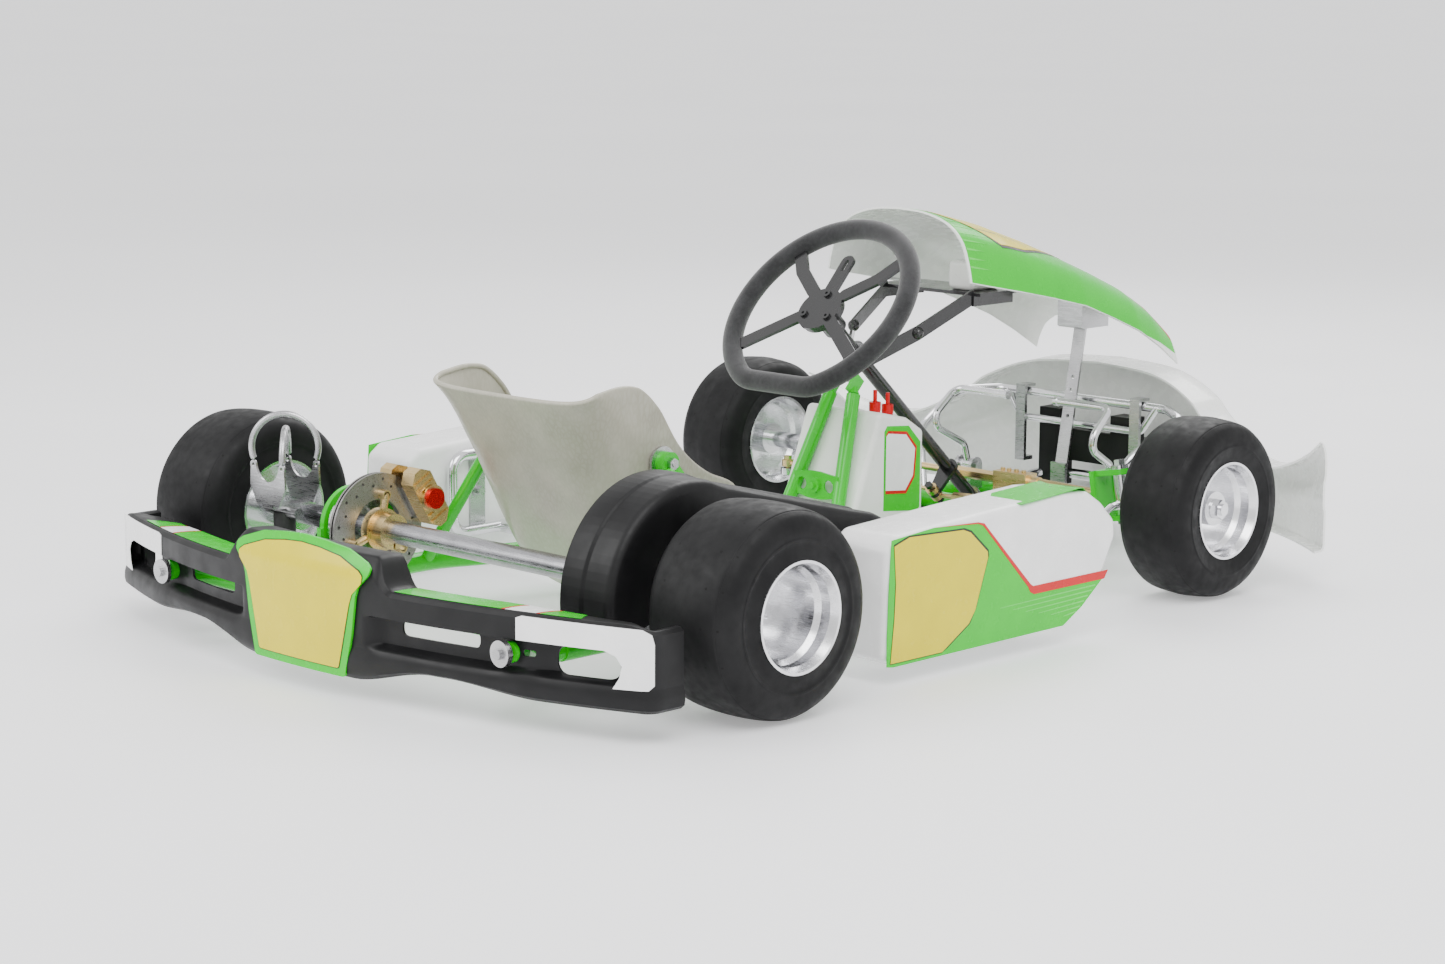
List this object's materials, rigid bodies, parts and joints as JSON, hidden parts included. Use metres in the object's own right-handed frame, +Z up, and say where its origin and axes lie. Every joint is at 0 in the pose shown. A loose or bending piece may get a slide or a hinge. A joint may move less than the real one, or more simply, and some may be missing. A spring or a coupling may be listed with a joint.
{
  "type": "kart chassis",
  "caption": "Bare cadet racing kart chassis with live rear axle, disc brake, steering, pedals, bucket seat, fuel tank and plastic bodywork, ready for an engine.",
  "frame": {"origin": "middle of the overall length, on the centre line, on the floor under the tyres", "axes": "+X forward towards the nose, +Y to the driver's left, +Z up"},
  "size_m": [1.655, 1.124, 0.527],
  "materials": {
    "green_paint": "gloss powder coat",
    "chrome_tube": "polished chrome plate",
    "steel_plain": "zinc plated",
    "axle_steel": "ground steel",
    "disc_steel": "ground, drilled",
    "rim_aluminium": "machined",
    "gold_anodised": "gold anodised",
    "red_anodised": "red anodised",
    "black_plastic": "moulded satin",
    "decal_plastic": "moulded with printed skins",
    "tank_plastic": "milky, slightly translucent",
    "red_plastic": "moulded",
    "slick_rubber": "slick",
    "rubber_black": "matte",
    "suede_grip": "suede",
    "seat_fibreglass": "hand laid, slightly translucent",
    "tray_aluminium": "mill finish sheet",
    "black_metal": "satin black"
  },
  "bodies": {
    "frame": {"axle_bearings": "steel_plain", "axle_carriers": "green_paint", "bearing_cassettes": "rim_aluminium", "brake_caliper": "gold_anodised", "brake_pads": "disc_steel", "bumper_supports": "green_paint", "chain_guard": "black_plastic", "column_supports": "steel_plain", "cradle_rubber": "rubber_black", "cradle_springs": "steel_plain", "cross_tubes": "green_paint", "exhaust_cradle": "steel_plain", "fairing_mount": "black_plastic", "floor_tray": "tray_aluminium", "front_brace": "gold_anodised", "front_bumpers": "chrome_tube", "front_hoop": "green_paint", "front_spoiler": "decal_plastic", "front_yokes": "green_paint", "fuel_tank": "tank_plastic", "hook_clamps": "steel_plain", "kingpins": "chrome_tube", "left_pod": "decal_plastic", "main_rails": "green_paint", "nassau_frame": "black_metal", "nassau_panel": "decal_plastic", "nassau_strut": "green_paint", "overflow_bottle": "tank_plastic", "pedal_mounts": "steel_plain", "piston_cap": "red_anodised", "pod_and_guard_brackets": "steel_plain", "rear_bumper": "black_plastic", "right_pod": "decal_plastic", "seat": "seat_fibreglass", "seat_and_bumper_bolts": "steel_plain", "seat_stays": "green_paint", "side_bars": "chrome_tube", "steering_uprights": "green_paint", "tank_caps": "red_plastic", "tank_mounting": "green_paint"},
    "rear_axle_set": {"rear_axle": "axle_steel", "rear_hubs": "rim_aluminium", "rear_rims": "rim_aluminium", "rear_tyres": "slick_rubber", "brake_disc": "disc_steel", "brake_hub": "gold_anodised", "sprocket": "steel_plain"},
    "steering": {"steering_wheel": "suede_grip", "wheel_plate": "black_metal", "steering_column": "black_metal"},
    "left_stub": {"left_stub_axle": "chrome_tube"},
    "right_stub": {"right_stub_axle": "chrome_tube"},
    "left_wheel": {"left_front_rim": "rim_aluminium", "left_front_tyre": "slick_rubber"},
    "right_wheel": {"right_front_rim": "rim_aluminium", "right_front_tyre": "slick_rubber"},
    "left_rod": {"left_tie_rod": "gold_anodised"},
    "right_rod": {"right_tie_rod": "gold_anodised"},
    "brake_pedal_arm": {"brake_pedal": "chrome_tube"},
    "throttle_pedal_arm": {"throttle_pedal": "chrome_tube"}
  },
  "joints": [
    {"name": "rear_axle_spin", "type": "hinge", "parent": "frame", "child": "rear_axle_set", "pos_m": [-0.5225, 0, 0.1293], "axis": [0, 1, 0], "continuous": true},
    {"name": "steering_turn", "type": "hinge", "parent": "frame", "child": "steering", "pos_m": [0.1085, 0, 0.392], "axis": [0.7373, 0, -0.6756], "range_deg": [-28, 28]},
    {"name": "left_kingpin", "type": "hinge", "parent": "frame", "child": "left_stub", "pos_m": [0.4275, 0.3, 0.1265], "axis": [0, -0.1736, 0.9848], "range_deg": [-20, 20]},
    {"name": "right_kingpin", "type": "hinge", "parent": "frame", "child": "right_stub", "pos_m": [0.4275, -0.3, 0.1265], "axis": [0, 0.1736, 0.9848], "range_deg": [-20, 20]},
    {"name": "left_wheel_spin", "type": "hinge", "parent": "left_stub", "child": "left_wheel", "pos_m": [0.4275, 0.43, 0.1265], "axis": [0, 1, 0], "continuous": true},
    {"name": "right_wheel_spin", "type": "hinge", "parent": "right_stub", "child": "right_wheel", "pos_m": [0.4275, -0.43, 0.1265], "axis": [0, 1, 0], "continuous": true},
    {"name": "left_rod_pivot", "type": "hinge", "parent": "steering", "child": "left_rod", "pos_m": [0.36195, 0, 0.09872], "axis": [0.7373, 0, -0.6756], "range_deg": [-28, 28]},
    {"name": "right_rod_pivot", "type": "hinge", "parent": "steering", "child": "right_rod", "pos_m": [0.36195, 0, 0.09872], "axis": [0.7373, 0, -0.6756], "range_deg": [-28, 28]},
    {"name": "brake_pedal_turn", "type": "hinge", "parent": "frame", "child": "brake_pedal_arm", "pos_m": [0.6015, 0.138, 0.096], "axis": [0, 1, 0], "range_deg": [0, 10], "stiffness_Nm_per_rad": 4, "springref_deg": -11.46},
    {"name": "throttle_pedal_turn", "type": "hinge", "parent": "frame", "child": "throttle_pedal_arm", "pos_m": [0.6015, -0.138, 0.096], "axis": [0, 1, 0], "range_deg": [0, 18], "stiffness_Nm_per_rad": 3, "springref_deg": -11.46}
  ],
  "couplings": [
    {"joint": "left_kingpin", "follows": "steering_turn", "ratio": -0.6818},
    {"joint": "right_kingpin", "follows": "steering_turn", "ratio": -0.6818},
    {"joint": "left_rod_pivot", "follows": "steering_turn", "ratio": -1},
    {"joint": "right_rod_pivot", "follows": "steering_turn", "ratio": -1}
  ]
}
